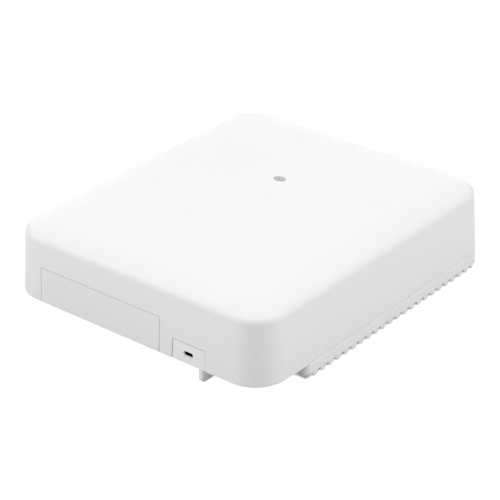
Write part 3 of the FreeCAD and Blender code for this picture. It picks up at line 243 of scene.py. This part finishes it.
def circuit_board(name, mask):
    """Solder mask over glass cloth: raised tracks, tinned pads, small vias and the cloth's faint weave."""
    s = Shader(name, roughness=0.35)
    bricks = s.add("ShaderNodeTexBrick", Vector=s.place, Scale=1.0, Mortar_Size=0.16 * MM, Mortar_Smooth=0.2)
    bricks.inputs["Brick Width"].default_value = 5.2 * MM
    bricks.inputs["Row Height"].default_value = 1.1 * MM
    tracks = s.calc("MULTIPLY", bricks.outputs["Fac"], s.span(s.noise(90.0, 1.0), 0.44, 0.5))
    pad = s.span(s.cells(330.0), 0.26, 0.22)
    pads = s.calc("MULTIPLY", pad, s.span(s.noise(70.0, 2.0), 0.5, 0.54))
    via = s.span(s.cells(620.0), 0.16, 0.12)
    vias = s.calc("MULTIPLY", via, s.span(s.noise(120.0, 1.0), 0.52, 0.56))
    lighter = tuple(c * 1.9 + 0.01 for c in mask)
    colour = s.mix(tracks, mask, lighter)
    colour = s.mix(pads, colour, (0.72, 0.71, 0.68))
    colour = s.mix(vias, colour, (0.02, 0.03, 0.02))
    s.set(Base_Color=colour, Metallic=s.calc("MULTIPLY", pads, 0.9))
    s.set(Roughness=s.span(pads, 0.0, 1.0, 0.32, 0.25))
    weave = s.add("ShaderNodeTexWave", Vector=s.place, Scale=500.0, Distortion=1.0).outputs["Fac"]
    height = s.calc("ADD", s.calc("ADD", tracks, pads), s.calc("MULTIPLY", weave, 0.12))
    s.set(Normal=s.bump(height, 0.5, 0.04 * MM, s.soft_edges(0.1 * MM)))
    return s


def moulded_epoxy(name, colour):
    """Chip package: dark, faintly glittering mould compound."""
    s = Shader(name, roughness=0.62)
    glitter = s.span(s.noise(5200.0, 1.0), 0.62, 0.7)
    s.set(Base_Color=s.mix(glitter, colour, (0.13, 0.13, 0.135)))
    s.set(Normal=s.bump(s.noise(3400.0, 2.0), 0.35, 0.012 * MM, s.soft_edges(0.1 * MM)))
    return s


def printed_film(name, colour):
    """Satin label stock: a slow drift in tone under a thin clear coat."""
    s = Shader(name, roughness=0.38)
    s.set(Base_Color=s.mix(s.noise(60.0, 2.0), tuple(c * 0.97 for c in colour), colour))
    s.set(Coat_Weight=0.25, Coat_Roughness=0.2)
    s.set(Normal=s.bump(s.noise(900.0, 2.0), 0.15, 0.01 * MM))
    return s


def milky_clear(name, colour):
    """Light pipe plastic: part clear, part diffusing."""
    s = Shader(name, roughness=0.22)
    haze = s.noise(500.0, 3.0)
    s.set(Base_Color=s.mix(haze, tuple(c * 0.94 for c in colour), colour))
    s.set(Transmission_Weight=0.12, IOR=1.49, Subsurface_Weight=0.15, Subsurface_Scale=1.0 * MM)
    s.set(Roughness=s.span(haze, 0.3, 0.7, 0.18, 0.3))
    s.set(Normal=s.bump(s.noise(1400.0, 2.0), 0.12, 0.01 * MM, s.soft_edges(0.15 * MM)))
    return s


def lamp(name, colour, strength):
    """Small coloured window that is dimly lit."""
    s = Shader(name, roughness=0.2)
    s.set(Base_Color=s.mix(s.noise(900.0, 1.0), tuple(c * 0.8 for c in colour), colour))
    s.set(Emission_Color=(*colour, 1.0), Emission_Strength=strength)
    return s


def make_materials():
    """One material for each of the record's slots."""
    recipes = {
        "radome_plastic": (moulded_plastic, (0.878, 0.876, 0.876)),
        "door_plastic": (moulded_plastic, (0.872, 0.868, 0.856), 1900.0, 0.022 * MM, (0.48, 0.6)),
        "cast_base": (powder_coat, (0.92, 0.922, 0.915)),
        "silicone": (dull_rubber, (0.70, 0.70, 0.70)),
        "steel": (turned_metal, (0.66, 0.66, 0.65)),
        "label": (printed_film, (0.74, 0.74, 0.74)),
        "circuit_board": (circuit_board, (0.010, 0.085, 0.038)),
        "tinplate": (sheet_metal, (0.78, 0.78, 0.76), "x"),
        "chip_epoxy": (moulded_epoxy, (0.018, 0.018, 0.020)),
        "thermal_pad": (dull_rubber, (0.30, 0.42, 0.55)),
        "ferrite": (moulded_epoxy, (0.045, 0.045, 0.05)),
        "capacitor_sleeve": (sheet_metal, (0.62, 0.63, 0.66), "z"),
        "gold_contact": (turned_metal, (0.86, 0.63, 0.25)),
        "clear_plastic": (milky_clear, (0.60, 0.595, 0.585)),
        "black_plastic": (moulded_plastic, (0.022, 0.022, 0.023), 2600.0, 0.015 * MM, (0.38, 0.55)),
        "bay_plastic": (moulded_plastic, (0.085, 0.086, 0.09), 2100.0, 0.02 * MM, (0.5, 0.64)),
        "tray_steel": (spangled_zinc, (0.72, 0.73, 0.74)),
        "brass": (turned_metal, (0.80, 0.62, 0.30)),
        "antenna_metal": (sheet_metal, (0.80, 0.79, 0.74), "y"),
        "nylon": (moulded_plastic, (0.80, 0.79, 0.73), 2400.0, 0.01 * MM, (0.35, 0.5)),
        "cable_jacket": (dull_rubber, (0.02, 0.02, 0.022)),
        "led_case": (lamp, (0.82, 0.84, 0.80), 0.6),
    }
    return {slot: build(slot, *settings).material for slot, (build, *settings) in recipes.items()}


def dress_cad_nodes(materials):
    """Gives every CAD node the material of its slot in the record."""
    for entry in frame["record"]["subparts"]:
        node = frame["nodes"][entry["node"]]
        node.data.materials.clear()
        node.data.materials.append(materials[entry["material_slot"]])


# ---------------------------------------------------------------- extra pieces
def prism(mesh, outline, axis, span):
    """Adds a closed prism to a bmesh: a plane outline pushed along one axis from span[0] to span[1].

    The outline's two numbers fill the other two axes, in x, y, z order.
    """
    def place(point, along):
        values = list(point)
        values.insert(axis, along)
        return mesh.verts.new(values)

    low = [place(point, span[0]) for point in outline]
    high = [place(point, span[1]) for point in outline]
    mesh.faces.new(low)
    mesh.faces.new(high)
    for i, following in enumerate(low[1:] + low[:1]):
        mesh.faces.new((low[i], following, high[(i + 1) % len(high)], high[i]))


def finished(name, mesh, material):
    """Turns a bmesh into a piece that rides on the chassis."""
    bmesh.ops.recalc_face_normals(mesh, faces=mesh.faces)
    data = bpy.data.meshes.new(name)
    mesh.to_mesh(data)
    mesh.free()
    piece = bpy.data.objects.new(name, data)
    bpy.context.scene.collection.objects.link(piece)
    data.materials.append(material)
    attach(piece, "chassis")


# Jack mouth, from the middle of the jack and from its lowest front corner.
MOUTH_HALF_W = 5.95 * MM
KEYWAY_HALF_W = 3.1 * MM
KEYWAY_Z = 1.0 * MM
MOUTH_FLOOR_Z = 2.1 * MM
MOUTH_TOP_Z = 9.05 * MM
MOUTH_Y = (0.5 * MM, 14.9 * MM)
LINING_WALL = 0.3 * MM
LINING_CLEAR = 0.02 * MM     # air between the lining and the jack's own shell


def make_jack_lining(node, material):
    """Plastic lining in a jack's mouth: side walls, stepped floor with its keyway, and a back wall."""
    low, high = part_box(node)
    middle = (low[0] + high[0]) / 2
    floor_z, key_z, top_z = low[2] + MOUTH_FLOOR_Z, low[2] + KEYWAY_Z, low[2] + MOUTH_TOP_Z
    front, back = low[1] + MOUTH_Y[0], low[1] + MOUTH_Y[1]

    def outline(inset):
        right = [(MOUTH_HALF_W - inset, top_z), (MOUTH_HALF_W - inset, floor_z + inset),
                 (KEYWAY_HALF_W - inset, floor_z + inset), (KEYWAY_HALF_W - inset, key_z + inset)]
        left = [(-x, z) for x, z in reversed(right)]
        return [(middle + x, z) for x, z in right + left]

    mesh = bmesh.new()
    inner_side = outline(LINING_CLEAR + LINING_WALL)[::-1]
    prism(mesh, outline(LINING_CLEAR) + inner_side, 1, (front, back))
    prism(mesh, outline(LINING_CLEAR), 1, (back - LINING_WALL, back - LINING_CLEAR))
    finished(node + "_lining", mesh, material)


# Printed frame on the rating plate.
INK_BELOW, INK_ABOVE = 0.03 * MM, 0.02 * MM     # how far the ink stands off the plate, and reaches into it
FRAME_MARGIN = 2.5 * MM
FRAME_LINE = 0.5 * MM
FRAME_ROWS = 3
CELL_STARTS = (0.38, 0.72)   # upright lines in the first row, as shares of its width


def make_label_rules(material):
    """Plain printed frame and empty cells on the rating plate, as raised ink."""
    low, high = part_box("rating_label")
    ink_z = (low[2] - INK_BELOW, low[2] + INK_ABOVE)
    x0, x1 = low[0] + FRAME_MARGIN, high[0] - FRAME_MARGIN
    y0, y1 = low[1] + FRAME_MARGIN, high[1] - FRAME_MARGIN
    mesh = bmesh.new()

    def bar(xa, ya, xb, yb):
        prism(mesh, [(xa, ya), (xb, ya), (xb, yb), (xa, yb)], 2, ink_z)

    bar(x0, y0, x1, y0 + FRAME_LINE)
    bar(x0, y1 - FRAME_LINE, x1, y1)
    bar(x0, y0 + FRAME_LINE, x0 + FRAME_LINE, y1 - FRAME_LINE)
    bar(x1 - FRAME_LINE, y0 + FRAME_LINE, x1, y1 - FRAME_LINE)
    row_h = (y1 - y0) / FRAME_ROWS
    for row in range(1, FRAME_ROWS):
        bar(x0 + FRAME_LINE, y0 + row * row_h, x1 - FRAME_LINE, y0 + row * row_h + FRAME_LINE / 2)
    for share in CELL_STARTS:
        x = x0 + (x1 - x0) * share
        bar(x, y0 + FRAME_LINE, x + FRAME_LINE / 2, y0 + row_h)
    finished("rating_label_rules", mesh, material)


# ---------------------------------------------------------------- studio
PLAN_CORNER = 24.0 * MM      # plan radius of the object's corners
FLOOR_SIDE = 12.0
FLOOR_TONE = 0.5
FLOOR_GLOW = 0.335           # light the open floor gives the object
UNDER_GLOW = 0.067           # the same, well under the object
GLOW_FADE = (-10.0 * MM, 40.0 * MM)             # where one turns into the other, past the outline
GLOW_SEEN = 1.0              # brightness of the floor in the picture
SHADOW_SEEN = 0.22           # the same, between the fins
SHADOW_FADE = (-4.5 * MM, -1.5 * MM)            # where one turns into the other, past the block's outline
WORLD_LEVEL = 0.12


def make_floor():
    """White floor, dark under the object and seen only from above, so that the underside can be looked at."""
    bpy.ops.mesh.primitive_plane_add(size=FLOOR_SIDE, location=(0.0, 0.0, 0.0))
    floor = bpy.context.object
    floor.name = "studio_floor"
    s = Shader("floor_white", roughness=0.9)
    s.set(Base_Color=rgba(FLOOR_TONE), Specular_IOR_Level=0.1)
    plan = s.add("ShaderNodeSeparateXYZ", Vector=s.place).outputs
    # Distance past the object's outline: past a side, past an end, or round a corner.
    past = []
    for axis, half in zip("XY", cad_high):
        over = s.calc("SUBTRACT", s.calc("ABSOLUTE", plan[axis]), half - PLAN_CORNER)
        past.append(s.calc("MAXIMUM", over, 0.0))
    squares = s.calc("ADD", s.calc("POWER", past[0], 2.0), s.calc("POWER", past[1], 2.0))
    outside = s.calc("SUBTRACT", s.calc("SQRT", squares), PLAN_CORNER)
    lit = s.span(outside, *GLOW_FADE, UNDER_GLOW, FLOOR_GLOW)
    # The finned block's own shadow shows between its fins; it starts at the port wall.
    past_ports = s.calc("SUBTRACT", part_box("usb_port")[0][1], plan["Y"])
    off_block = s.calc("MAXIMUM", outside, past_ports)
    shadowed = s.span(off_block, *SHADOW_FADE, SHADOW_SEEN, GLOW_SEEN)
    seen = s.add("ShaderNodeLightPath").outputs["Is Camera Ray"]
    glow = s.calc("MAXIMUM", lit, s.calc("MULTIPLY", seen, shadowed))
    s.set(Emission_Color=(1.0, 1.0, 1.0, 1.0), Emission_Strength=glow)
    behind = s.add("ShaderNodeNewGeometry").outputs["Backfacing"]
    clear = s.add("ShaderNodeBsdfTransparent")
    switch = s.add("ShaderNodeMixShader")
    s.feed(switch.inputs[0], behind)
    s.feed(switch.inputs[1], s.surface.outputs[0])
    s.feed(switch.inputs[2], clear.outputs[0])
    s.tree.links.new(switch.outputs[0], s.output.inputs["Surface"])
    floor.data.materials.append(s.material)
    return floor


def outward(azimuth, elevation):
    """Unit vector from the object towards a viewer; azimuth 0 is in front, and 90 is at +X."""
    a, e = math.radians(azimuth), math.radians(elevation)
    return Vector((math.sin(a) * math.cos(e), -math.cos(a) * math.cos(e), math.sin(e)))


def aimed_at(location, target):
    """Rotation that points an object's -Z from one place to another, upright."""
    return (Vector(target) - Vector(location)).to_track_quat("-Z", "Y").to_euler()


LIGHT_AIM = (0.0, 0.0, 30.0 * MM)


def softbox(name, azimuth, elevation, distance, size, power, colour=(1.0, 1.0, 1.0)):
    """Area light on a sphere round the object, aimed at its middle. Angles in degrees, power in watts."""
    light = bpy.data.lights.new(name, "AREA")
    light.shape = "RECTANGLE"
    light.size, light.size_y = size
    light.energy = power
    light.color = colour
    holder = bpy.data.objects.new(name, light)
    holder.location = outward(azimuth, elevation) * distance
    holder.rotation_euler = aimed_at(holder.location, LIGHT_AIM)
    holder.visible_camera = False
    bpy.context.scene.collection.objects.link(holder)
    return holder


def shine_through(holder, blocker):
    """Lets one light pass one object as if it were not there."""
    skipped = bpy.data.collections.new(holder.name + "_skips")
    skipped.objects.link(blocker)
    holder.light_linking.blocker_collection = skipped
    skipped.collection_objects[0].light_linking.link_state = "EXCLUDE"


def make_lights(floor):
    """Faint even surround, seven banks above the floor, and one under it for the object's underside."""
    world = bpy.data.worlds.new("studio_world")
    bpy.context.scene.world = world
    world.use_nodes = True
    background = world.node_tree.nodes["Background"]
    background.inputs["Color"].default_value = (1.0, 1.0, 1.0, 1.0)
    # The camera sees the surround as white as the floor; everything else gets only the faint level.
    seen = world.node_tree.nodes.new("ShaderNodeLightPath").outputs["Is Camera Ray"]
    level = world.node_tree.nodes.new("ShaderNodeMath")
    level.operation = "MAXIMUM"
    level.inputs[1].default_value = WORLD_LEVEL
    world.node_tree.links.new(seen, level.inputs[0])
    world.node_tree.links.new(level.outputs[0], background.inputs["Strength"])
    softbox("bank_top", 0.0, 89.0, 2.6, (2.0, 2.0), 14.0, (0.95, 0.975, 1.0))
    softbox("bank_front", 38.0, 60.0, 2.4, (1.6, 1.4), 19.6)
    softbox("bank_left_mid", -50.0, 45.0, 2.2, (1.4, 1.2), 13.3)
    softbox("bank_right_mid", 128.0, 45.0, 2.2, (1.4, 1.2), 16.0)
    softbox("bank_left_low", -50.0, 16.0, 1.8, (1.0, 0.9), 4.7)
    softbox("bank_right_low", 128.0, 16.0, 1.8, (1.0, 0.9), 3.1)
    softbox("bank_back", 222.0, 14.0, 2.4, (2.0, 0.5), 11.7)
    below = softbox("bank_below", 180.0, -60.0, 2.0, (0.7, 0.7), 5.5)
    shine_through(below, floor)


# Camera: angles round the object in degrees, and a lens in millimetres.
CAMERA_AZIMUTH, CAMERA_ELEVATION = 38.749, 27.615
CAMERA_DISTANCE = 1.33404
CAMERA_AIM_Z = 0.0375
CAMERA_LENS = 138.61
CAMERA_SHIFT = (-0.0085, -0.0320)


def make_camera():
    data = bpy.data.cameras.new("camera")
    data.lens = CAMERA_LENS
    data.shift_x, data.shift_y = CAMERA_SHIFT
    data.clip_start, data.clip_end = 0.01, 50.0
    holder = bpy.data.objects.new("camera", data)
    aim = Vector((0.0, 0.0, CAMERA_AIM_Z))
    holder.location = aim + outward(CAMERA_AZIMUTH, CAMERA_ELEVATION) * CAMERA_DISTANCE
    holder.rotation_euler = aimed_at(holder.location, aim)
    bpy.context.scene.collection.objects.link(holder)
    bpy.context.scene.camera = holder


# ---------------------------------------------------------------- build
materials = make_materials()
dress_cad_nodes(materials)
for jack in ("poe_jack", "aux_jack", "console_jack"):
    make_jack_lining(jack, materials["black_plastic"])
make_label_rules(materials["black_plastic"])
make_lights(make_floor())
make_camera()
bpy.context.scene.view_settings.view_transform = "Standard"
